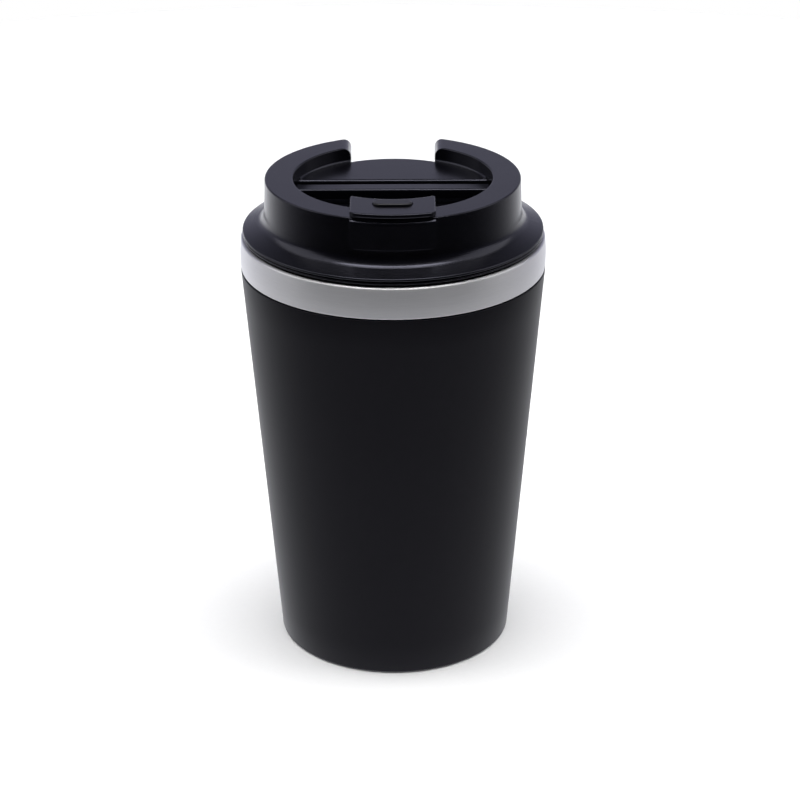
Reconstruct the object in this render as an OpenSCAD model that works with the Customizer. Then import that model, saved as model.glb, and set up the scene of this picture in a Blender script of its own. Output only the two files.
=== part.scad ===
// Insulated travel mug: double steel wall, screw-in lid, flip-up sip flap.
// +Z is up, the origin is the centre of the base, and the sip side faces -Y.

/* [Mug body] */
// Outer radius of the coated wall at its foot
wall_r_bottom = 34; // [33.6:0.1:34.3]
// Outer radius of the coated wall just under the steel band
wall_r_top = 43.5; // [43.3:0.05:43.55]
// Height of the coated wall's visible top edge
wall_top_z = 115.2; // [115:0.1:115.3]
// Thickness of the coated steel wall
wall_t = 0.7; // [0.6:0.05:0.8]
// Clear gap that holds the vacuum between the two walls
vacuum_gap = 2.9; // [2.6:0.1:3.1]
// Rounding of the wall's foot
foot_round = 0.5; // [0.4:0.1:0.8]

/* [Steel band] */
// Outer radius of the band
band_r = 43.6; // [43.5:0.05:43.7]
// Height of the band's lower edge
band_bottom_z = 115.55; // [115.5:0.05:115.7]
// Height of the band's upper edge
band_top_z = 124.6; // [124.5:0.05:124.8]

/* [Mouth] */
// Inner radius of the mouth
mouth_r = 39.4; // [39.3:0.05:39.5]
// Thickness of the inner steel wall
liner_t = 0.6; // [0.5:0.05:0.65]
// Height of the liner's floor
liner_floor_z = 6.6; // [6.5:0.1:8]

/* [Screw thread] */
// Rise of the thread in one turn
thread_lead = 8; // [7.6:0.1:8.4]
// Angle that each ridge runs round
thread_span = 190; // [160:5:200]

/* [Lid] */
// Height of the top face of the raised ring
ring_top_z = 141.75; // [141.5:0.05:142]
// Outer radius of the ring at its top
ring_r = 36.2; // [36:0.05:36.3]
// Inner radius of the ring
well_r = 28.2; // [28.1:0.05:28.3]
// Outer radius of the flange lip
flange_r = 42.8; // [42.6:0.05:42.9]
// Height of the groove between the lid's two mouldings
parting_z = 126.3; // [126.2:0.05:126.4]
// Depth of the front well under the ring's top
well_depth = 8; // [7.8:0.1:8.2]
// Depth of the rear platform under the ring's top
platform_depth = 4.2; // [4.1:0.05:4.4]
// Width of the rear notch
notch_w = 24.5; // [24.3:0.1:25]

/* [Flap] */
// Width of the tab
tab_w = 23.4; // [23:0.1:23.8]
// Radius of the tab's rear edge about the mug's axis
tab_rear_r = 24; // [23.8:0.1:24.2]
// Radius of the tab's front edge about the mug's axis
tab_front_r = 36.9; // [36.7:0.1:37.1]
// Height of the tab's top face over the ring's top
tab_rise = 1.7; // [1.6:0.05:1.8]
// Thickness of the tab
tab_t = 1.35; // [1.3:0.05:1.4]
// Diameter of the hinge pin
pin_d = 2; // [1.9:0.05:2.1]
// Length of the sip slot
slot_l = 15; // [14:0.5:15]
// Width of the sip slot
slot_w = 5.4; // [5.2:0.1:5.5]

/* [Hidden] */

$fn = 128;
arc_steps = 8;
eps = 0.05;
big = 200;

// Foot and base
foot_z = 0.2;
hem_r = 31.2;
base_z = 2.7;
vac_hole_r = 1.2;
vac_bead_r = 1.6;
getter_x = 15;
getter_r = 4.5;
getter_t = 1.5;
pad_r = hem_r - 0.5;
wall_slope = (wall_r_top - wall_r_bottom) / wall_top_z;
function wall_r(z) = wall_r_bottom + wall_slope * z;

// Neck of the shell, tucked in behind the band
neck_r = 42.1;
neck_top_z = 123.85;
band_skin = 0.7;
band_top_round = 1.6;
band_low_round = 0.5;

// Liner
liner_corner = 5;
liner_bend_z = 108;
lip_z = 124.5;
lip_round = 0.5;
function liner_r(z) = wall_r(z) - wall_t - vacuum_gap - liner_t;
liner_foot_r = liner_r(liner_floor_z + liner_corner);

// Screw plug of the lid
thread_starts = 3;
plug_r = 37.4;
plug_t = 1.8;
plug_bottom_z = 112.3;
plug_bottom_round = 1.2;
ridge_root = 1.3;
ridge_crest = 0.7;
ridge_bed = 0.2;
ext_crest_r = 39;
int_crest_r = 38;
ext_thread_z = 114.9;
int_thread_z = ext_thread_z - thread_lead / thread_starts / 2;
cover_land = 0.35;
cover_land_r = 41.8;
insert_flange_t = 0.55;
insert_flange_z = parting_z - cover_land - insert_flange_t;
insert_flange_r = flange_r - 0.1;
spigot_r = 36.3;
spigot_top_z = 129.2;
bead_r = 38.1;
bead_z = 121.8;
seal_r = 41.6;

// Ring and well
floor_z = ring_top_z - well_depth;
platform_z = ring_top_z - platform_depth;
tub_z = ring_top_z - 9.8;
tub_under_z = tub_z - 1.8;
notch_z = ring_top_z - 7.9;
skin_t = 1.8;
ring_foot_r = 36.55;
ring_edge = 0.4;
cove_r = 3.5;
cove_z = 131.73;
cove_turn = 64;
lip_edge_r = 0.45;
platform_y = 8.35;
platform_end_r = 27.4;
platform_fillet = 0.8;
platform_edge = 0.9;
platform_t = 2;
notch_flare = 2.8;

// Thumb pad on the ring's wall
thumb_w = 23.4;
thumb_r = 37;
thumb_top_z = ring_top_z - 0.5;
thumb_bottom_z = ring_top_z - 9;
thumb_corner = 1.9;

// Hinge
axis_y = 2.7;
axis_z = ring_top_z - 6.2;
bar_y0 = 0.35;
bar_y1 = 5.4;
bar_z0 = ring_top_z - 7.7;
bar_z1 = platform_z;
bar_half = 27.2;
bar_top_round = 0.7;
bar_low_round = 1.1;
trough_y0 = -1.2;
boss_r = 2.6;
bore_x = 29;
bore_l = 3.4;
pin_half = 30.6;
pin_gap = 0.05;
seat_gap = 0.01;

// Arm, tab and sip channel
arm_half = 9.5;
arm_z0 = ring_top_z - 9.2;
arm_z1 = ring_top_z - 7;
arm_front_y = -20.2;
arm_rear_y = 3.2;
channel_half = 10.4;
boss_rear_r = 25.2;
riser_r = 24.8;
spout_half = channel_half - 0.2;
tab_z1 = ring_top_z + tab_rise;
tab_z0 = tab_z1 - tab_t;
tab_edge = 0.5;
tab_front_corner = 2.8;
tab_rear_corner = 0.9;
slot_y = -29;
pill_y = -28.1;
slot_wall = 1.6;
tube_cover_z = 129.4;
tube_insert_z = 128.4;
pill_l = 10.7;
pill_w = 4.2;
pill_h = 0.65;
pill_seat = 0.35;
pill_groove = 0.3;
stem_l = 8.6;
stem_w = 2;
plug_depth = 3;
plug_gap = 0.22;
plug_taper = 0.75;
vent_y = -11.5;
vent_r = 1.25;
vent_tube_r = 3;
vent_stem_r = 1;

// Points of an arc about c, from angle a0 to angle a1
function arc(c, r, a0, a1, n = arc_steps) =
    [for (i = [0:n]) c + r * [cos(a0 + (a1 - a0) * i / n), sin(a0 + (a1 - a0) * i / n)]];

// Flat slot outline along X, with round ends
module slot_2d(l, w) {
    union() {
        square([l - w, w], center = true);
        translate([-(l - w) / 2, 0]) circle(d = w);
        translate([(l - w) / 2, 0]) circle(d = w);
    }
}

// Upright slot-shaped column between two heights, centred on the sip slot
module slot_column(l, w, z0, z1) {
    translate([0, slot_y, z0]) linear_extrude(z1 - z0) slot_2d(l, w);
}

// Rectangle with its four corners rounded
module round_rect(x0, y0, x1, y1, r) {
    union() {
        translate([x0 + r, y0]) square([x1 - x0 - 2 * r, y1 - y0]);
        translate([x0, y0 + r]) square([x1 - x0, y1 - y0 - 2 * r]);
        for (x = [x0 + r, x1 - r])
            for (y = [y0 + r, y1 - r])
                translate([x, y]) circle(r = r);
    }
}

// A YZ outline run along X from -half to half
module along_x(half) {
    rotate([90, 0, 90]) translate([0, 0, -half]) linear_extrude(2 * half) children();
}

// An XZ outline run along Y between two places
module along_y(y0, y1) {
    translate([0, y1, 0]) rotate([90, 0, 0]) linear_extrude(y1 - y0) children();
}

// One screw ridge that fades in and out at its ends
module ridge(root_r, crest_r, z, start) {
    steps = 40;
    fade = 0.1;
    function grow(t) = min(1, min(t, 1 - t) / fade + 0.05);
    function tip(t) = root_r + (crest_r - root_r) * grow(t);
    pts = [
        for (i = [0:steps])
            let (t = i / steps, a = start + thread_span * t, h = z + thread_lead * thread_span * t / 360)
            let (low = [[root_r, -ridge_root], [tip(t), -ridge_crest]])
            for (q = concat(low, [[tip(t), ridge_crest], [root_r, ridge_root]]))
                [q[0] * cos(a), q[0] * sin(a), h + q[1] / 2]
    ];
    outward = crest_r > root_r;
    sides = [
        for (i = [0:steps - 1])
            for (k = [0:3])
                let (a = 4 * i + k, b = 4 * i + (k + 1) % 4)
                outward ? [a, b, b + 4, a + 4] : [a, a + 4, b + 4, b]
    ];
    caps = outward
        ? [[3, 2, 1, 0], [4 * steps, 4 * steps + 1, 4 * steps + 2, 4 * steps + 3]]
        : [[0, 1, 2, 3], [4 * steps + 3, 4 * steps + 2, 4 * steps + 1, 4 * steps]];
    polyhedron(points = pts, faces = concat(sides, caps), convexity = 6);
}

module outer_shell() {
    shoulder_z = wall_top_z - wall_t;
    color("#17181b")
        rotate_extrude()
            polygon(concat(
                arc([wall_r_bottom - foot_round, foot_z + foot_round], foot_round, -90, 0),
                [
                    [wall_r_top, wall_top_z],
                    [neck_r, wall_top_z],
                    [neck_r, neck_top_z],
                    [neck_r - wall_t, neck_top_z],
                    [neck_r - wall_t, shoulder_z],
                    [wall_r(shoulder_z) - wall_t, shoulder_z],
                    [wall_r(foot_z + wall_t) - wall_t, foot_z + wall_t],
                    [hem_r + wall_t, foot_z + wall_t],
                    [hem_r + wall_t, base_z],
                    [hem_r, base_z],
                    [hem_r, foot_z]
                ]
            ));
}

module rim_band() {
    inner = neck_r + seat_gap;
    color("#a9a9ab")
        rotate_extrude()
            polygon(concat(
                [[inner, band_bottom_z]],
                arc([band_r - band_low_round, band_bottom_z + band_low_round], band_low_round, -90, 0),
                arc([band_r - band_top_round, band_top_z - band_top_round], band_top_round, 0, 90),
                [
                    [inner, band_top_z],
                    [inner, band_top_z - band_skin],
                    [band_r - band_skin, band_top_z - band_skin],
                    [band_r - band_skin, band_bottom_z + band_skin],
                    [inner, band_bottom_z + band_skin]
                ]
            ));
}

module inner_liner() {
    c = [liner_foot_r - liner_corner, liner_floor_z + liner_corner];
    color("#b9babc") {
        rotate_extrude()
            polygon(concat(
                [[0, liner_floor_z]],
                arc(c, liner_corner, -90, 0),
                [[liner_r(liner_bend_z), liner_bend_z], [mouth_r, liner_bend_z + 2]],
                arc([mouth_r + lip_round, lip_z - lip_round], lip_round, 180, 90),
                [
                    [neck_r, lip_z],
                    [neck_r, lip_z - liner_t],
                    [mouth_r + liner_t, lip_z - liner_t],
                    [mouth_r + liner_t, liner_bend_z + 2],
                    [liner_r(liner_bend_z) + liner_t, liner_bend_z]
                ],
                arc(c, liner_corner + liner_t, 0, -90),
                [[0, liner_floor_z - liner_t]]
            ));
        for (i = [0:thread_starts - 1])
            ridge(mouth_r + ridge_bed, int_crest_r, int_thread_z, 360 * i / thread_starts);
    }
}

module shell_base() {
    base_r = wall_r(base_z) - wall_t - 0.1;
    dimple_r = 6;
    color("#8e8f92")
        difference() {
            union() {
                translate([0, 0, base_z + eps]) cylinder(r = base_r, h = wall_t);
                translate([0, 0, base_z + eps]) cylinder(r = dimple_r, h = 2 * wall_t);
            }
            translate([0, 0, base_z - 1]) cylinder(r = vac_hole_r, h = 10);
        }
}

module vacuum_plug() {
    top = base_z + eps + 2 * wall_t;
    color("#6f7072")
        rotate_extrude()
            polygon(concat(
                [[0, base_z + eps], [vac_hole_r - seat_gap, base_z + eps], [vac_hole_r - seat_gap, top]],
                arc([0, top], vac_bead_r, 0, 90)
            ));
}

module getter() {
    low = liner_floor_z - liner_t - getter_t;
    color("#4a4b4e")
        translate([getter_x, 0, low]) cylinder(r = getter_r, h = getter_t);
}

module base_pad() {
    edge = 0.6;
    color("#1c1c1e")
        rotate_extrude()
            polygon(concat(
                [[0, 0]],
                arc([pad_r - edge, edge], edge, -90, 0),
                [[pad_r, base_z - eps], [0, base_z - eps]]
            ));
}

module lid_seal() {
    inner = plug_r + 0.15;
    lip = mouth_r - 0.2;
    body = inner + 0.9;
    low = lip_z - 2;
    top = insert_flange_z - eps;
    color("#3c3d40")
        rotate_extrude()
            polygon([
                [inner, low], [body, low],
                [lip, low + 0.4], [lip, low + 0.7], [body, low + 0.8],
                [body, low + 1.2], [lip, low + 1.5], [lip, low + 1.7], [body, low + 1.9],
                [body, lip_z + 0.2], [seal_r - 0.2, lip_z + 0.2], [seal_r, lip_z + 0.35],
                [seal_r, top - 0.1], [seal_r - 0.1, top], [inner, top]
            ]);
}

// Outer outline of the lid from its parting groove up to the ring's top
function lid_outline() =
    let (
        cove_c = [ring_foot_r + cove_r, cove_z],
        cove_end = cove_c + cove_r * [-cos(cove_turn), -sin(cove_turn)],
        lip_c = [flange_r - lip_edge_r, parting_z + 0.8 - lip_edge_r],
        crown = lip_c + lip_edge_r * [cos(cove_turn), sin(cove_turn)]
    )
    concat(
        arc([flange_r - 0.3, parting_z + 0.3], 0.3, -90, 0, 4),
        arc(lip_c, lip_edge_r, 0, cove_turn),
        arc(cove_c, cove_r, 180 + cove_turn, 180),
        arc([ring_r - ring_edge, ring_top_z - ring_edge], ring_edge, 2, 90),
        arc([well_r + 0.4, ring_top_z - 0.4], 0.4, 90, 180, 5)
    );

module lid_skin() {
    hollow_r = ring_r - 2;
    rotate_extrude()
        polygon(concat(
            [
                [spigot_r + 0.1, parting_z - cover_land],
                [cover_land_r, parting_z - cover_land],
                [cover_land_r, parting_z]
            ],
            lid_outline(),
            [
                [well_r, floor_z],
                [0, floor_z],
                [0, floor_z - skin_t],
                [well_r + skin_t, floor_z - skin_t],
                [well_r + skin_t, ring_top_z - skin_t],
                [hollow_r, ring_top_z - skin_t],
                [hollow_r, spigot_top_z + 1],
                [spigot_r + 0.1, spigot_top_z + 0.1]
            ]
        ));
}

// Rear platform with a hollow blend up to the ring's inner wall
module platform() {
    fillet_c = [well_r - platform_fillet, platform_z + platform_fillet];
    intersection() {
        rotate_extrude()
            polygon(concat(
                [
                    [0, tub_under_z],
                    [well_r + 0.5, tub_under_z],
                    [well_r + 0.5, fillet_c[1]],
                    [well_r, fillet_c[1]]
                ],
                arc(fillet_c, platform_fillet, 0, -90),
                [[0, platform_z]]
            ));
        along_x(40)
            polygon(concat(
                [
                    [platform_y, tub_under_z],
                    [40, tub_under_z],
                    [40, ring_top_z],
                    [platform_y + platform_edge, ring_top_z]
                ],
                arc([platform_y + platform_edge, platform_z - platform_edge], platform_edge, 90, 180)
            ));
    }
}

// Solid behind the notch, under its floor and beside its walls
module notch_block() {
    intersection() {
        rotate_extrude() {
            translate([platform_end_r - 2, notch_z - 2])
                square([ring_r - 1 - platform_end_r + 2, platform_z - notch_z + 2]);
            translate([well_r + 0.5, platform_z - eps])
                square([ring_r - 1.5 - well_r, ring_top_z - 1 - platform_z]);
        }
        translate([-notch_w / 2 - 2, 10, notch_z - 5]) cube([notch_w + 4, 40, 30]);
    }
}

module notch_cut() {
    half = notch_w / 2;
    top = ring_top_z;
    along_y(10, 50)
        polygon(concat(
            [[-half, platform_z], [half, platform_z]],
            arc([half + notch_flare, top - notch_flare], notch_flare, 180, 90),
            [[half + notch_flare, top + 2], [-half - notch_flare, top + 2]],
            arc([-half - notch_flare, top - notch_flare], notch_flare, 90, 0)
        ));
    difference() {
        translate([-half, 15, notch_z]) cube([notch_w, 40, platform_z - notch_z + eps]);
        translate([0, 0, notch_z - 1]) cylinder(r = platform_end_r, h = 10);
    }
}

// Thumb pad: a shallow raised panel with rounded edges on the ring's wall
module thumb_pad() {
    edge = 0.45;
    crown = 1.2;
    intersection() {
        rotate_extrude()
            polygon(concat(
                [[ring_r - 1, thumb_bottom_z], [thumb_r - edge, thumb_bottom_z]],
                arc([thumb_r - edge, thumb_bottom_z + edge], edge, -90, 0, 5),
                arc([thumb_r - crown, thumb_top_z - crown], crown, 0, 90),
                [[ring_r - 1, thumb_top_z]]
            ));
        along_y(-40, -30)
            round_rect(-thumb_w / 2, thumb_bottom_z, thumb_w / 2, thumb_top_z + 4, thumb_corner);
    }
}

module hinge_bosses() {
    for (side = [-1, 1])
        translate([side * (well_r + 1.6), axis_y, axis_z])
            rotate([0, 90, 0]) cylinder(r = boss_r, h = 3, center = true);
}

// Channel for the arm and trough for the hinge bar, as a hanging tub
module tub_shell() {
    intersection() {
        union() {
            translate([-channel_half - skin_t, -30, tub_under_z])
                cube([2 * (channel_half + skin_t), 33, floor_z - tub_under_z]);
            translate([-40, trough_y0 - skin_t, tub_under_z])
                cube([80, platform_y - trough_y0 + 2 * skin_t, floor_z - tub_under_z]);
        }
        translate([0, 0, tub_under_z - 1]) cylinder(r = well_r + skin_t, h = 30);
    }
}

module tub_cut() {
    intersection() {
        union() {
            translate([-channel_half, -30, tub_z]) cube([2 * channel_half, 31, floor_z - tub_z + 1]);
            translate([-40, trough_y0, tub_z]) cube([80, platform_y - trough_y0, floor_z - tub_z + 1]);
        }
        translate([0, 0, tub_z - 1]) cylinder(r = well_r, h = 30);
    }
}

// Block that carries the sip channel up to the ring's top
module spout_boss() {
    outer_l = slot_l + 2 * slot_wall;
    outer_w = slot_w + 2 * slot_wall;
    difference() {
        union() {
            intersection() {
                translate([-spout_half, -31, tub_z - eps])
                    cube([2 * spout_half, 14, ring_top_z - tub_z + eps]);
                translate([0, 0, tub_z - 1]) cylinder(r = well_r + 1, h = 30);
            }
            slot_column(outer_l, outer_w, tub_z - eps, ring_top_z - 1);
        }
        translate([0, 0, tub_z]) cylinder(r = boss_rear_r, h = 30);
    }
    slot_column(outer_l, outer_w, tube_cover_z, tub_z);
}

// Space under the rear platform
module platform_hollow() {
    intersection() {
        translate([-40, platform_y + platform_t, tub_under_z - 1])
            cube([80, 40, platform_z - platform_t - tub_under_z + 1]);
        translate([0, 0, tub_under_z - 2]) cylinder(r = platform_end_r - 2.5, h = 30);
    }
}

module lid_cover() {
    color("#202127")
        difference() {
            union() {
                difference() {
                    union() {
                        lid_skin();
                        tub_shell();
                        platform();
                        notch_block();
                        thumb_pad();
                        hinge_bosses();
                    }
                    tub_cut();
                    notch_cut();
                    platform_hollow();
                }
                spout_boss();
                translate([0, vent_y, tube_cover_z]) cylinder(r = vent_tube_r, h = tub_z - tube_cover_z);
            }
            slot_column(slot_l, slot_w, tube_cover_z - 1, ring_top_z + 1);
            translate([0, vent_y, tube_cover_z - 1]) cylinder(r = vent_r, h = 10);
            for (side = [-1, 1])
                translate([side * bore_x, axis_y, axis_z])
                    rotate([0, 90, 0]) cylinder(r = pin_d / 2 + seat_gap, h = bore_l, center = true);
        }
}

module lid_insert() {
    flange_top = insert_flange_z + insert_flange_t;
    low_c = [plug_r - plug_bottom_round, plug_bottom_z + plug_bottom_round];
    tube_low = plug_bottom_z + 0.5;
    edge = 0.2;
    color("#1c1d22")
        difference() {
            union() {
                rotate_extrude()
                    polygon(concat(
                        [[0, plug_bottom_z]],
                        arc(low_c, plug_bottom_round, -90, 0),
                        [
                            [plug_r, bead_z - 0.4],
                            [bead_r, bead_z],
                            [bead_r, bead_z + 0.4],
                            [plug_r, bead_z + 0.5],
                            [plug_r, insert_flange_z]
                        ],
                        arc([insert_flange_r - edge, insert_flange_z + edge], edge, -90, 0, 4),
                        arc([insert_flange_r - edge, flange_top - edge], edge, 0, 90, 4),
                        [
                            [spigot_r, flange_top],
                            [spigot_r, spigot_top_z],
                            [spigot_r - plug_t, spigot_top_z],
                            [spigot_r - plug_t, flange_top],
                            [plug_r - plug_t, insert_flange_z],
                            [plug_r - plug_t, plug_bottom_z + plug_t],
                            [0, plug_bottom_z + plug_t]
                        ]
                    ));
                for (i = [0:thread_starts - 1])
                    ridge(plug_r - ridge_bed, ext_crest_r, ext_thread_z, 360 * i / thread_starts);
                slot_column(slot_l + 2 * slot_wall, slot_w + 2 * slot_wall, tube_low, tube_insert_z);
                translate([0, vent_y, tube_low])
                    cylinder(r = vent_tube_r, h = tube_insert_z - tube_low);
            }
            slot_column(slot_l, slot_w, plug_bottom_z - 1, tube_insert_z + 1);
            translate([0, vent_y, plug_bottom_z - 1]) cylinder(r = vent_r, h = 20);
        }
}

module channel_gasket() {
    low = tube_insert_z + eps;
    high = tube_cover_z - eps;
    color("#55565a")
        difference() {
            slot_column(slot_l + 2 * slot_wall - 0.6, slot_w + 2 * slot_wall - 0.6, low, high);
            slot_column(slot_l + 0.4, slot_w + 0.4, low - 1, high + 1);
        }
}

module vent_gasket() {
    low = tube_insert_z + eps;
    color("#55565a")
        translate([0, vent_y, low])
            difference() {
                cylinder(r = vent_tube_r - 0.3, h = tube_cover_z - eps - low);
                translate([0, 0, -1]) cylinder(r = vent_r + 0.2, h = 5);
            }
}

module hinge_pin() {
    color("#c4c5c8")
        translate([-pin_half, axis_y, axis_z])
            rotate([0, 90, 0]) cylinder(d = pin_d, h = 2 * pin_half);
}

// Hinge bar across the well, with the pin's bore
module hinge_bar() {
    along_x(bar_half)
        union() {
            translate([bar_y0, bar_z0 + bar_low_round])
                square([bar_y1 - bar_y0, bar_z1 - bar_z0 - bar_low_round - bar_top_round]);
            translate([bar_y0 + bar_low_round, bar_z0])
                square([bar_y1 - bar_y0 - 2 * bar_low_round, bar_z1 - bar_z0]);
            translate([bar_y0 + bar_top_round, bar_z1 - 2])
                square([bar_y1 - bar_y0 - 2 * bar_top_round, 2]);
            for (y = [bar_y0 + bar_low_round, bar_y1 - bar_low_round])
                translate([y, bar_z0 + bar_low_round]) circle(r = bar_low_round);
            for (y = [bar_y0 + bar_top_round, bar_y1 - bar_top_round])
                translate([y, bar_z1 - bar_top_round]) circle(r = bar_top_round);
        }
}

// Plan of the tab: two arcs about the mug's axis, straight sides and round corners
function tab_plan() =
    let (
        front_x = tab_w / 2 - tab_front_corner,
        rear_x = tab_w / 2 - tab_rear_corner,
        front_c = [front_x, -sqrt(pow(tab_front_r - tab_front_corner, 2) - pow(front_x, 2))],
        rear_c = [rear_x, -sqrt(pow(tab_rear_r + tab_rear_corner, 2) - pow(rear_x, 2))],
        front_a = atan2(front_c[1], front_c[0]),
        rear_a = atan2(rear_c[1], rear_c[0])
    )
    concat(
        arc([0, 0], tab_front_r, -180 - front_a, front_a, 24),
        arc(front_c, tab_front_corner, front_a, 0),
        arc(rear_c, tab_rear_corner, 0, 180 + rear_a),
        arc([0, 0], tab_rear_r, rear_a, -180 - rear_a, 24),
        arc([-rear_c[0], rear_c[1]], tab_rear_corner, -rear_a, 180),
        arc([-front_c[0], front_c[1]], tab_front_corner, 180, 180 - front_a)
    );

module tab() {
    intersection() {
        rotate_extrude() round_rect(tab_rear_r, tab_z0, tab_front_r, tab_z1, tab_edge);
        along_y(-40, -15) round_rect(-tab_w / 2, tab_z0, tab_w / 2, tab_z1, tab_edge);
        translate([0, 0, tab_z0 - 1]) linear_extrude(tab_t + 2) polygon(tab_plan());
    }
}

module riser() {
    intersection() {
        along_x(arm_half)
            polygon([
                [-26, arm_z0],
                [-26, tab_z0 + 0.3],
                [-24.2, tab_z0 + 0.3],
                [arm_front_y, arm_z1],
                [arm_front_y, arm_z0]
            ]);
        translate([0, 0, arm_z0 - 1]) cylinder(r = riser_r, h = 20);
    }
}

module flap() {
    color("#24252b")
        difference() {
            union() {
                hinge_bar();
                translate([-arm_half, arm_front_y - 0.5, arm_z0])
                    cube([2 * arm_half, arm_rear_y - arm_front_y + 0.5, arm_z1 - arm_z0]);
                riser();
                tab();
            }
            translate([-30, axis_y, axis_z])
                rotate([0, 90, 0]) cylinder(r = pin_d / 2 + pin_gap, h = 60);
            translate([0, pill_y, tab_z0 - 1])
                linear_extrude(4) slot_2d(stem_l + 2 * seat_gap, stem_w + 2 * seat_gap);
            translate([0, pill_y, tab_z1 - pill_seat])
                linear_extrude(2) slot_2d(pill_l + 2 * pill_groove, pill_w + 2 * pill_groove);
            translate([0, vent_y, arm_z0 - 1]) cylinder(r = vent_stem_r + seat_gap, h = 5);
        }
}

// Slot-shaped body whose sides taper evenly, from wide at the top to narrow at the bottom
module tapered_slot(l, w, taper, z0, z1) {
    half = (l - w) / 2;
    for (x = [-half, half])
        translate([x, 0, z0]) cylinder(r1 = w / 2 - taper, r2 = w / 2, h = z1 - z0);
    along_x(half)
        polygon([[-w / 2 + taper, z0], [w / 2 - taper, z0], [w / 2, z1], [-w / 2, z1]]);
}

// Raised head with a rounded top edge, standing in its seat
module pill_head() {
    half = (pill_l - pill_w) / 2;
    r = pill_w / 2;
    e = 0.4;
    high = pill_seat + pill_h;
    for (x = [-half, half])
        translate([x, 0, tab_z1 - pill_seat])
            rotate_extrude()
                polygon(concat([[0, 0], [r, 0]], arc([r - e, high - e], e, 0, 90), [[0, high]]));
    translate([0, 0, tab_z1 - pill_seat])
        along_x(half)
            polygon(concat(
                [[-r, 0], [r, 0]],
                arc([r - e, high - e], e, 0, 90),
                arc([e - r, high - e], e, 90, 180)
            ));
}

module sip_plug() {
    l = slot_l - 2 * plug_gap;
    w = slot_w - 2 * plug_gap;
    color("#2a2b32") {
        translate([0, slot_y, 0]) tapered_slot(l, w, plug_taper, ring_top_z - plug_depth, ring_top_z);
        slot_column(l, w, ring_top_z - eps, tab_z0);
        translate([0, pill_y, tab_z0 - eps]) linear_extrude(tab_t) slot_2d(stem_l, stem_w);
        translate([0, pill_y, 0]) pill_head();
    }
}

module vent_plug() {
    color("#2a2b32")
        translate([0, vent_y, 0]) {
            translate([0, 0, tub_z + 0.12]) cylinder(r = 2.3, h = arm_z0 - tub_z - 0.12);
            translate([0, 0, tub_z - 0.9]) cylinder(r1 = 0.7, r2 = 0.85, h = 1.2);
            translate([0, 0, arm_z0 - eps]) cylinder(r = vent_stem_r, h = arm_z1 - arm_z0 + 2 * eps);
            translate([0, 0, arm_z1]) cylinder(r = 1.7, h = 0.6);
        }
}

outer_shell();
rim_band();
inner_liner();
shell_base();
getter();
vacuum_plug();
base_pad();
lid_seal();
lid_cover();
lid_insert();
channel_gasket();
vent_gasket();
hinge_pin();
flap();
sip_plug();
vent_plug();
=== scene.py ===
"""Finishes, fine turned pieces and a plain studio for the insulated travel mug."""

import math

import bmesh
import bpy
from mathutils import Matrix, Vector


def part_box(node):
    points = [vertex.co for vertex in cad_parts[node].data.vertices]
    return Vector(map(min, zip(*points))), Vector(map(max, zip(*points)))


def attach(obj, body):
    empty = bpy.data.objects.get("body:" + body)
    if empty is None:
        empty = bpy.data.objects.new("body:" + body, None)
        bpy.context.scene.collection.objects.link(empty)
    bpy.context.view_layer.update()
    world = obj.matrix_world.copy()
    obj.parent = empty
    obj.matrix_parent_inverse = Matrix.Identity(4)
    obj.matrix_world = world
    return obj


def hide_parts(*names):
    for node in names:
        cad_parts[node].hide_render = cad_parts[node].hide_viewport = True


bl_info = {
    "name": "Travel mug looks",
    "version": (1, 0, 0),
    "blender": (4, 5, 0),
    "location": "3D view > Sidebar > Mug",
    "description": "Builds the finishes, the turned steel pieces and the studio for the travel mug",
    "category": "Object",
}

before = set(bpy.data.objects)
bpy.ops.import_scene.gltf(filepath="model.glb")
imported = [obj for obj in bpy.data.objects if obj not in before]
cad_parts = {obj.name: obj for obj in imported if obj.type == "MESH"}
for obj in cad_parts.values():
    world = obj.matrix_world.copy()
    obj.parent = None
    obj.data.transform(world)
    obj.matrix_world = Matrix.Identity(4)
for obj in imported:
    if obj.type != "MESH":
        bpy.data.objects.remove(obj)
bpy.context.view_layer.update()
MM = 0.001
SHARP_EDGE = math.radians(32)

# Outer wall and the hem under it, in mm
WALL_FOOT_R = 34.0
WALL_TOP_R = 43.5
WALL_TOP_Z = 115.2
WALL_IN_FOOT_R = 33.38
WALL_IN_TOP_R = 42.74
SHOULDER_Z = 114.5
NECK_R = 42.1
NECK_IN_R = 41.4
HEM_R = 31.2
HEM_IN_R = 31.9
HEM_TOP_Z = 2.7
STEEL_T = 0.7
CUT_EDGE = 0.2

# Band, in mm: its seat on the neck, and how far its sides pull in at each edge
BAND_SEAT_R = 42.11
BAND_LOW_EDGE = 0.45
BAND_LOW_PULL = 0.16
BAND_TOP_PULL = 0.3
BAND_BELLY = 22

# Lamps: name, place, aim, size, power in watts, and whether reflections show them
LAMPS = (
    ("top_box", (0, -0.06, 1.0), (0, 0, 0.12), (0.8, 0.28), 5.2, True),
    ("left_box", (-0.75, 0.1, 0.72), (0, 0, 0.1), (0.8, 0.8), 2.1, True),
    ("right_box", (0.75, 0.1, 0.72), (0, 0, 0.1), (0.8, 0.8), 2.1, True),
    ("fill_box", (0, 0, 1.3), (0, 0, 0), (2.4, 2.4), 28.5, False),
)
PAPER_R = 0.7


# ---------------------------------------------------------------- shader helpers


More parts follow.
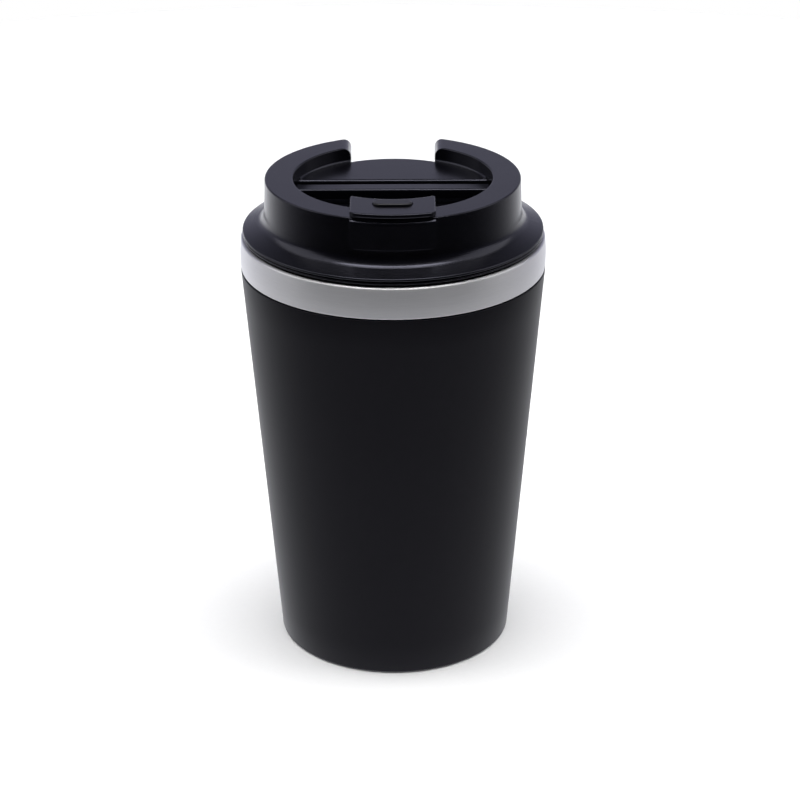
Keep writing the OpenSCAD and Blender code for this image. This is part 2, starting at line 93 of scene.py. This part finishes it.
class Wire:
    """A socket or number in a node tree; an expression on it adds the Math nodes."""

    def __init__(self, look, socket):
        self.look = look
        self.socket = socket

    def math(self, operation, *others):
        return self.look.add("ShaderNodeMath", {"operation": operation}, [self, *others]).out(0)

    def __add__(self, other):
        return self.math("ADD", other)

    def __radd__(self, other):
        return self.math("ADD", other)

    def __sub__(self, other):
        return self.math("SUBTRACT", other)

    def __rsub__(self, other):
        return Wire(self.look, other).math("SUBTRACT", self)

    def __mul__(self, other):
        return self.math("MULTIPLY", other)

    def __rmul__(self, other):
        return self.math("MULTIPLY", other)

    def __truediv__(self, other):
        return self.math("DIVIDE", other)

    def __rtruediv__(self, other):
        return Wire(self.look, other).math("DIVIDE", self)

    def __pow__(self, other):
        return self.math("POWER", other)


class Added:
    """A node that has just been added, with its outputs as wires."""

    def __init__(self, look, node):
        self.look = look
        self.node = node

    def out(self, key):
        return Wire(self.look, self.node.outputs[key])


class Look:
    """A node tree for a material or the world."""

    def __init__(self, tree):
        self.tree = tree
        tree.nodes.clear()

    def put(self, socket, value):
        """Sets a socket to a plain value, or links a wire to it."""
        if isinstance(value, Wire):
            value = value.socket
        if isinstance(value, bpy.types.NodeSocket):
            self.tree.links.new(value, socket)
        else:
            socket.default_value = value

    def add(self, kind, settings=None, inputs=None):
        """Adds a node of that type: its settings first, then its sockets, by key or in order."""
        node = self.tree.nodes.new(kind)
        for key, value in (settings or {}).items():
            setattr(node, key, value)
        if isinstance(inputs, (list, tuple)):
            inputs = dict(enumerate(inputs))
        for key, value in (inputs or {}).items():
            self.put(node.inputs[key], value)
        return Added(self, node)

    def place(self):
        """Position in the object's own space, in metres."""
        return self.add("ShaderNodeTexCoord").out("Object")

    def noise(self, at, scale, detail=2.0, rough=0.5):
        """Smooth noise from about 0 to 1."""
        inputs = {"Vector": at, "Scale": scale, "Detail": detail, "Roughness": rough}
        return self.add("ShaderNodeTexNoise", None, inputs).out("Fac")

    def stretched(self, at, scale):
        """The place, scaled by a factor along each axis."""
        return self.add("ShaderNodeVectorMath", {"operation": "MULTIPLY"}, [at, scale]).out(0)

    def blend(self, factor, low, high):
        """A colour between two colours."""
        settings = {"data_type": "RGBA"}
        return self.add("ShaderNodeMix", settings, {0: factor, 6: low, 7: high}).out(2)

    def bump(self, height, distance, normal=None):
        """A normal tilted by a height map, in metres."""
        inputs = {"Height": height, "Distance": distance, "Strength": 1.0}
        if normal is not None:
            inputs["Normal"] = normal
        return self.add("ShaderNodeBump", None, inputs).out("Normal")

    def eased(self, radius):
        """A normal that rounds the sharp edges by that radius, in metres."""
        return self.add("ShaderNodeBevel", {"samples": 8}, {"Radius": radius}).out("Normal")


def new_material(name):
    """An empty node material with its output, its shader and a Look on its tree."""
    material = bpy.data.materials.new(name)
    material.use_nodes = True
    look = Look(material.node_tree)
    shader = look.add("ShaderNodeBsdfPrincipled")
    look.add("ShaderNodeOutputMaterial", None, [shader.node.outputs["BSDF"]])
    return material, look, shader.node


def shades(tone, down, up):
    """A darker and a lighter shade of a tone, as opaque colours."""
    low = (*(c * down for c in tone), 1)
    high = (*(min(1, c * up) for c in tone), 1)
    return low, high


def turned_place(look):
    """Angle about the mug's axis in radians, then height and radius in metres."""
    at = look.add("ShaderNodeSeparateXYZ", None, [look.place()])
    x, y, z = at.out(0), at.out(1), at.out(2)
    angle = y.math("ARCTAN2", x)
    radius = (x * x + y * y).math("SQRT")
    return look.add("ShaderNodeCombineXYZ", None, [angle, z, radius]).out(0)


# ---------------------------------------------------------------- finishes


def powder_coat(settings):
    """Matt powder coat: a fine pebbled skin with a slightly uneven gloss."""
    material, look, shader = new_material("coated_steel_look")
    at = look.place()
    grain = look.noise(at, 2600.0, 2.0)
    flow = look.noise(at, 520.0, 2.0)
    cloud = look.noise(at, 34.0, 3.0)
    low, high = shades(settings.coat_color, 0.86, 1.14)
    look.put(shader.inputs["Base Color"], look.blend(cloud, low, high))
    look.put(shader.inputs["Roughness"], settings.coat_roughness - 0.03 + 0.06 * cloud)
    look.put(shader.inputs["Normal"], look.bump(grain + 1.6 * flow, 0.0000045))
    shader.inputs["Specular IOR Level"].default_value = 0.24
    shader.inputs["Specular Tint"].default_value = (0.88, 0.86, 1.0, 1)
    return material


def brushed_band(settings):
    """Bare stainless steel with hairlines that run round the rim."""
    material, look, shader = new_material("band_steel_look")
    at = turned_place(look)
    hair = look.noise(look.stretched(at, (26.0, 21000.0, 21000.0)), 1.0, 3.0, 0.6)
    long_hair = look.noise(look.stretched(at, (7.0, 5200.0, 5200.0)), 1.0, 2.0, 0.5)
    lines = 0.6 * hair + 0.4 * long_hair
    low, high = shades(settings.band_color, 0.88, 1.1)
    look.put(shader.inputs["Base Color"], look.blend(lines, low, high))
    look.put(shader.inputs["Roughness"], settings.band_roughness - 0.05 + 0.1 * lines)
    look.put(shader.inputs["Normal"], look.bump(lines, 0.000004))
    shader.inputs["Anisotropic"].default_value = 0.8
    shader.inputs["Anisotropic Rotation"].default_value = 0.25
    shader.inputs["Metallic"].default_value = 1.0
    return material


def plain_steel(name, tone, roughness):
    """Satin steel with a faint cloudy polish."""
    material, look, shader = new_material(name)
    at = turned_place(look)
    lines = look.noise(look.stretched(at, (5.0, 2600.0, 2600.0)), 1.0, 3.0, 0.55)
    cloud = look.noise(look.place(), 90.0, 2.0)
    low, high = shades(tone, 0.9, 1.08)
    look.put(shader.inputs["Base Color"], look.blend(cloud, low, high))
    look.put(shader.inputs["Roughness"], roughness - 0.04 + 0.08 * lines)
    look.put(shader.inputs["Normal"], look.bump(lines, 0.0000015))
    shader.inputs["Metallic"].default_value = 1.0
    return material


def moulded_plastic(name, tone, roughness, edge):
    """Satin moulded plastic: fine spark texture, softened edges and a slightly cloudy gloss."""
    material, look, shader = new_material(name)
    at = look.place()
    spark = look.noise(at, 5200.0, 2.0, 0.6)
    flow = look.noise(at, 160.0, 2.0)
    low, high = shades(tone, 0.9, 1.1)
    look.put(shader.inputs["Base Color"], look.blend(flow, low, high))
    look.put(shader.inputs["Roughness"], roughness - 0.03 + 0.06 * flow)
    rounded = look.eased(edge)
    look.put(shader.inputs["Normal"], look.bump(spark, 0.0000016, normal=rounded))
    shader.inputs["Specular Tint"].default_value = (0.8, 0.8, 1.0, 1)
    return material


def silicone(name, tone, roughness):
    """Smooth moulded silicone with a dusty, soft gloss."""
    material, look, shader = new_material(name)
    at = look.place()
    dust = look.noise(at, 900.0, 3.0, 0.6)
    skin = look.noise(at, 3800.0, 2.0)
    low, high = shades(tone, 0.88, 1.15)
    look.put(shader.inputs["Base Color"], look.blend(dust, low, high))
    look.put(shader.inputs["Roughness"], roughness - 0.04 + 0.08 * dust)
    look.put(shader.inputs["Normal"], look.bump(skin, 0.0000018, normal=look.eased(0.00015)))
    return material


def studio_floor():
    """Pale seamless paper."""
    material, look, shader = new_material("studio_paper")
    fibre = look.noise(look.place(), 700.0, 3.0)
    low, high = (0.9, 0.9, 0.9, 1), (0.93, 0.93, 0.93, 1)
    look.put(shader.inputs["Base Color"], look.blend(fibre, low, high))
    shader.inputs["Roughness"].default_value = 0.9
    shader.inputs["Specular IOR Level"].default_value = 0.1
    return material


# ---------------------------------------------------------------- turned meshes


def rounded_profile(points, steps=6):
    """A closed outline from corners (radius, height, round) in mm, each with its own rounding."""
    outline = []
    count = len(points)
    for i, (r, z, e) in enumerate(points):
        here = Vector((r, z))
        if e <= 0:
            outline.append(here)
            continue
        before = Vector(points[i - 1][:2]) - here
        after = Vector(points[(i + 1) % count][:2]) - here
        half = before.angle(after) / 2
        reach = min(e / math.tan(half), 0.48 * before.length, 0.48 * after.length)
        radius = reach * math.tan(half)
        inward = (before.normalized() + after.normalized()).normalized()
        centre = here + inward * (radius / math.sin(half))
        start = here + before.normalized() * reach - centre
        sweep = start.angle_signed(here + after.normalized() * reach - centre)
        for k in range(steps + 1):
            outline.append(centre + Matrix.Rotation(-sweep * k / steps, 2) @ start)
    return outline


def split_long(outline, longest):
    """The closed outline with its long edges cut into shorter ones."""
    points = []
    for i, here in enumerate(outline):
        there = outline[(i + 1) % len(outline)]
        cuts = max(1, math.ceil((there - here).length / longest))
        points += [here.lerp(there, k / cuts) for k in range(cuts)]
    return points


def turned(name, outline, segments, material):
    """A piece turned about the mug's axis from a closed outline in mm."""
    mesh = bmesh.new()
    rings = []
    for k in range(segments):
        angle = 2 * math.pi * k / segments
        cos, sin = math.cos(angle), math.sin(angle)
        places = [(p.x * MM * cos, p.x * MM * sin, p.y * MM) for p in outline]
        rings.append([mesh.verts.new(place) for place in places])
    count = len(outline)
    for k, ring in enumerate(rings):
        onward = rings[(k + 1) % segments]
        for i in range(count):
            j = (i + 1) % count
            mesh.faces.new((ring[i], onward[i], onward[j], ring[j]))
    bmesh.ops.recalc_face_normals(mesh, faces=mesh.faces)
    return finish_mesh(name, mesh, material)


def finish_mesh(name, mesh, material):
    """The bmesh as an object with smooth faces, marked sharp edges and one material."""
    data = bpy.data.meshes.new(name)
    mesh.to_mesh(data)
    mesh.free()
    data.shade_smooth()
    data.set_sharp_from_angle(angle=SHARP_EDGE)
    data.materials.append(material)
    piece = bpy.data.objects.new(name, data)
    bpy.context.scene.collection.objects.link(piece)
    return piece


def stand_for(piece, body, slot, *nodes):
    """The piece rides on a body and replaces CAD nodes; its slot is not used."""
    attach(piece, body)
    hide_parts(*nodes)


def dress(node, material):
    """A carried-over CAD node with a finished material in place of its plain one."""
    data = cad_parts[node].data
    for i in range(len(data.materials)):
        data.materials[i] = material


# ---------------------------------------------------------------- settings


class MugFinishes(bpy.types.PropertyGroup):
    """Colours and gloss of the mug's finishes."""

    coat_color: bpy.props.FloatVectorProperty(
        name="Coat", description="Colour of the powder coat", subtype="COLOR",
        size=3, min=0, max=1, default=(0.0033, 0.0031, 0.0046))
    coat_roughness: bpy.props.FloatProperty(
        name="Coat roughness", description="Roughness of the powder coat",
        default=0.42, min=0.1, max=1)
    band_color: bpy.props.FloatVectorProperty(
        name="Band", description="Colour of the bare steel band", subtype="COLOR",
        size=3, min=0, max=1, default=(0.86, 0.855, 0.865))
    band_roughness: bpy.props.FloatProperty(
        name="Band roughness", description="Roughness of the steel band",
        default=0.5, min=0.05, max=1)
    lid_color: bpy.props.FloatVectorProperty(
        name="Lid", description="Colour of the lid's plastic", subtype="COLOR",
        size=3, min=0, max=1, default=(0.0014, 0.0014, 0.0022))
    lid_roughness: bpy.props.FloatProperty(
        name="Lid roughness", description="Roughness of the lid's plastic",
        default=0.25, min=0.1, max=1)
    plug_color: bpy.props.FloatVectorProperty(
        name="Plug", description="Colour of the silicone sip plug", subtype="COLOR",
        size=3, min=0, max=1, default=(0.004, 0.004, 0.0055))


class MugShape(bpy.types.PropertyGroup):
    """Fine shape of the turned pieces."""

    segments: bpy.props.IntProperty(
        name="Segments", description="Faces round each turned piece", default=256, min=64, max=512)
    foot_round: bpy.props.FloatProperty(
        name="Foot rounding", description="Rounding of the wall's foot", default=0.0005,
        min=0.0003, max=0.002, unit="LENGTH")
    band_crown: bpy.props.FloatProperty(
        name="Band top rounding", description="Rounding of the band's upper edge", default=0.0016,
        min=0.0003, max=0.002, unit="LENGTH")


class MugStudio(bpy.types.PropertyGroup):
    """Camera and light of the studio."""

    lens: bpy.props.FloatProperty(
        name="Lens", description="Focal length of the camera", default=114.23, min=20, max=300)
    camera_place: bpy.props.FloatVectorProperty(
        name="Camera", description="Where the camera stands", subtype="XYZ", unit="LENGTH",
        size=3, default=(0.001789, -0.67933, 0.37714))
    camera_aim: bpy.props.FloatVectorProperty(
        name="Aim", description="Point that the camera looks at", subtype="XYZ", unit="LENGTH",
        size=3, default=(0.001789, 0.0, 0.072424))
    camera_roll: bpy.props.FloatProperty(
        name="Roll", description="Turn of the camera about its view", subtype="ANGLE",
        default=math.radians(-0.225))
    light: bpy.props.FloatProperty(
        name="Light", description="Strength of all the lamps", default=1.0, min=0.1, max=5)


# ---------------------------------------------------------------- pieces


class MUG_OT_body(bpy.types.Operator):
    """Turned outer wall with its powder coat."""

    bl_idname = "mug.body"
    bl_label = "Outer wall"

    def execute(self, context):
        shape, finishes = context.scene.mug_shape, context.scene.mug_finishes
        low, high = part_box("outer_shell")
        foot, top = low.z / MM, high.z / MM
        outline = rounded_profile([
            (WALL_FOOT_R, foot, shape.foot_round / MM),
            (WALL_TOP_R, WALL_TOP_Z, 0.25),
            (NECK_R, WALL_TOP_Z, 0),
            (NECK_R, top, CUT_EDGE),
            (NECK_IN_R, top, CUT_EDGE),
            (NECK_IN_R, SHOULDER_Z, 0),
            (WALL_IN_TOP_R, SHOULDER_Z, 0),
            (WALL_IN_FOOT_R, foot + STEEL_T, 0),
            (HEM_IN_R, foot + STEEL_T, 0),
            (HEM_IN_R, HEM_TOP_Z, CUT_EDGE),
            (HEM_R, HEM_TOP_Z, CUT_EDGE),
            (HEM_R, foot, CUT_EDGE),
        ])
        coat = powder_coat(finishes)
        piece = turned("coated_wall", split_long(outline, 9), shape.segments, coat)
        stand_for(piece, "mug", "coated_steel", "outer_shell")
        return {"FINISHED"}


class MUG_OT_band(bpy.types.Operator):
    """Turned band of brushed steel round the mouth."""

    bl_idname = "mug.band"
    bl_label = "Rim band"

    def execute(self, context):
        shape, finishes = context.scene.mug_shape, context.scene.mug_finishes
        low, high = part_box("rim_band")
        outer, bottom, top = high.x / MM, low.z / MM, high.z / MM
        outline = rounded_profile([
            (BAND_SEAT_R, bottom, 0.1),
            (outer - BAND_LOW_PULL, bottom, BAND_LOW_EDGE),
            (outer, bottom + 3.2, BAND_BELLY),
            (outer - 0.02, top - 3.6, BAND_BELLY),
            (outer - BAND_TOP_PULL, top, shape.band_crown / MM),
            (BAND_SEAT_R, top, 0.1),
            (BAND_SEAT_R, top - STEEL_T, 0),
            (outer - STEEL_T, top - STEEL_T, 0),
            (outer - STEEL_T, bottom + STEEL_T, 0),
            (BAND_SEAT_R, bottom + STEEL_T, 0),
        ], 10)
        steel = brushed_band(finishes)
        piece = turned("steel_band", split_long(outline, 3), shape.segments, steel)
        stand_for(piece, "mug", "band_steel", "rim_band")
        return {"FINISHED"}


class MUG_OT_vessel(bpy.types.Operator):
    """Finishes of the inner vessel, the base and the foot."""

    bl_idname = "mug.vessel"
    bl_label = "Inner vessel and base"

    def execute(self, context):
        steel = plain_steel("liner_steel_look", (0.58, 0.58, 0.585), 0.28)
        dull = plain_steel("getter_metal_look", (0.32, 0.32, 0.33), 0.5)
        dress("inner_liner", steel)
        dress("shell_base", steel)
        dress("getter", dull)
        dress("vacuum_plug", dull)
        dress("base_pad", silicone("foot_rubber_look", (0.011, 0.011, 0.012), 0.6))
        return {"FINISHED"}


class MUG_OT_lid(bpy.types.Operator):
    """Finishes of the lid's mouldings, seals and pin."""

    bl_idname = "mug.lid"
    bl_label = "Lid"

    def execute(self, context):
        finishes = context.scene.mug_finishes
        tone, gloss = tuple(finishes.lid_color), finishes.lid_roughness
        dress("lid_cover", moulded_plastic("lid_plastic_look", tone, gloss, 0.25 * MM))
        dress("lid_insert", moulded_plastic("insert_plastic_look", tone, gloss, 0.15 * MM))
        seal = silicone("seal_silicone_look", (0.09, 0.09, 0.095), 0.5)
        for node in ("lid_seal", "channel_gasket", "vent_gasket"):
            dress(node, seal)
        dress("hinge_pin", plain_steel("pin_steel_look", (0.56, 0.56, 0.57), 0.25))
        return {"FINISHED"}


class MUG_OT_flap(bpy.types.Operator):
    """Finishes of the flap and its plugs."""

    bl_idname = "mug.flap"
    bl_label = "Flap"

    def execute(self, context):
        finishes = context.scene.mug_finishes
        tone, gloss = tuple(finishes.lid_color), finishes.lid_roughness
        dress("flap", moulded_plastic("flap_plastic_look", tone, gloss, 0.15 * MM))
        plug = silicone("plug_silicone_look", tuple(finishes.plug_color), 0.38)
        dress("sip_plug", plug)
        dress("vent_plug", plug)
        return {"FINISHED"}


def lamp(name, place, aim, size, power, in_reflections):
    """A soft rectangular lamp that points at a place."""
    data = bpy.data.lights.new(name, "AREA")
    data.shape = "RECTANGLE"
    data.size, data.size_y = size
    data.energy = power
    light = bpy.data.objects.new(name, data)
    bpy.context.scene.collection.objects.link(light)
    light.location = place
    light.rotation_euler = (Vector(aim) - Vector(place)).to_track_quat("-Z", "Y").to_euler()
    light.visible_glossy = in_reflections


class MUG_OT_stage(bpy.types.Operator):
    """Pale floor, soft lamps and the camera."""

    bl_idname = "mug.stage"
    bl_label = "Studio"

    def execute(self, context):
        studio = context.scene.mug_studio
        self.floor(context)
        self.surroundings(context)
        for name, place, aim, size, power, in_reflections in LAMPS:
            lamp(name, place, aim, size, power * studio.light, in_reflections)
        data = bpy.data.cameras.new("camera")
        data.sensor_width = 36
        data.lens = studio.lens
        data.clip_start, data.clip_end = 0.01, 50
        camera = bpy.data.objects.new("camera", data)
        context.scene.collection.objects.link(camera)
        place, aim = Vector(studio.camera_place), Vector(studio.camera_aim)
        turn = (aim - place).to_track_quat("-Z", "Y").to_matrix().to_4x4()
        roll = Matrix.Rotation(studio.camera_roll, 4, "Z")
        camera.matrix_world = Matrix.Translation(place) @ turn @ roll
        context.scene.camera = camera
        context.scene.view_settings.view_transform = "Standard"
        return {"FINISHED"}

    def floor(self, context):
        """A round sheet of paper that runs out into the pale air round it."""
        mesh = bmesh.new()
        bmesh.ops.create_circle(mesh, cap_ends=True, segments=96, radius=PAPER_R)
        floor = finish_mesh("studio_floor", mesh, studio_floor())
        floor.visible_glossy = False

    def surroundings(self, context):
        """Light from all round: bright behind the mug, dim before it, plain white in view."""
        world = bpy.data.worlds.new("studio_air")
        world.use_nodes = True
        context.scene.world = world
        look = Look(world.node_tree)
        generated = look.add("ShaderNodeTexCoord").out("Generated")
        way = look.add("ShaderNodeSeparateXYZ", None, [generated])
        side, back, up = way.out(0), way.out(1), way.out(2)
        behind = (0.5 + 0.5 * back).math("MAXIMUM", 0.0)
        above = up.math("MAXIMUM", 0.0)
        # The sky glows behind the mug and fades with height
        sky = 0.55 * behind ** 2.0 / (1 + (above / 0.5) ** 4.0)
        # The ground is bright far behind the mug, more so to the left, and close round its foot
        below = -1 * up
        near = ((below - 0.45) / 0.4).math("MAXIMUM", 0.0).math("MINIMUM", 1.0)
        far_glow = 1.65 * (1.0 - 0.2 * side) * behind ** 3.6
        ground = far_glow + near * (1.15 + 0.7 * behind)
        is_ground = up.math("LESS_THAN", 0.0)
        dim = 0.012
        strength = dim + is_ground * ground + (1 - is_ground) * sky
        sky_tint, ground_tint = (0.84, 0.84, 1.08, 1), (0.97, 0.98, 1.02, 1)
        tint = look.blend(is_ground, sky_tint, ground_tint)
        shade = look.add("ShaderNodeBackground", None, {"Color": tint, "Strength": strength})
        paper = look.add("ShaderNodeBackground", None, {"Color": (1, 1, 1, 1), "Strength": 1.0})
        seen = look.add("ShaderNodeLightPath").out("Is Camera Ray")
        mixed = look.add("ShaderNodeMixShader", None, [seen, shade.out(0), paper.out(0)])
        look.add("ShaderNodeOutputWorld", None, [mixed.out(0)])


class MUG_PT_panel(bpy.types.Panel):
    """Buttons and settings for the mug's pieces."""

    bl_idname = "MUG_PT_panel"
    bl_label = "Travel mug"
    bl_space_type = "VIEW_3D"
    bl_region_type = "UI"
    bl_category = "Mug"

    def draw(self, context):
        for name in GROUPS:
            group = getattr(context.scene, name)
            column = self.layout.column()
            for key in group.__annotations__:
                column.prop(group, key)
        for step in STEPS:
            self.layout.operator(step.bl_idname)


STEPS = (MUG_OT_body, MUG_OT_band, MUG_OT_vessel, MUG_OT_lid, MUG_OT_flap, MUG_OT_stage)
GROUPS = {"mug_finishes": MugFinishes, "mug_shape": MugShape, "mug_studio": MugStudio}


def register():
    """Registers the settings, the steps and the panel."""
    for name, group in GROUPS.items():
        bpy.utils.register_class(group)
        setattr(bpy.types.Scene, name, bpy.props.PointerProperty(type=group))
    for kind in (*STEPS, MUG_PT_panel):
        bpy.utils.register_class(kind)


def unregister():
    """Removes what register added."""
    for kind in (MUG_PT_panel, *reversed(STEPS)):
        bpy.utils.unregister_class(kind)
    for name, group in reversed(GROUPS.items()):
        delattr(bpy.types.Scene, name)
        bpy.utils.unregister_class(group)


def main():
    """Builds every piece and the studio."""
    register()
    for step in STEPS:
        prefix, name = step.bl_idname.split(".")
        getattr(getattr(bpy.ops, prefix), name)()


if __name__ == "__main__":
    main()
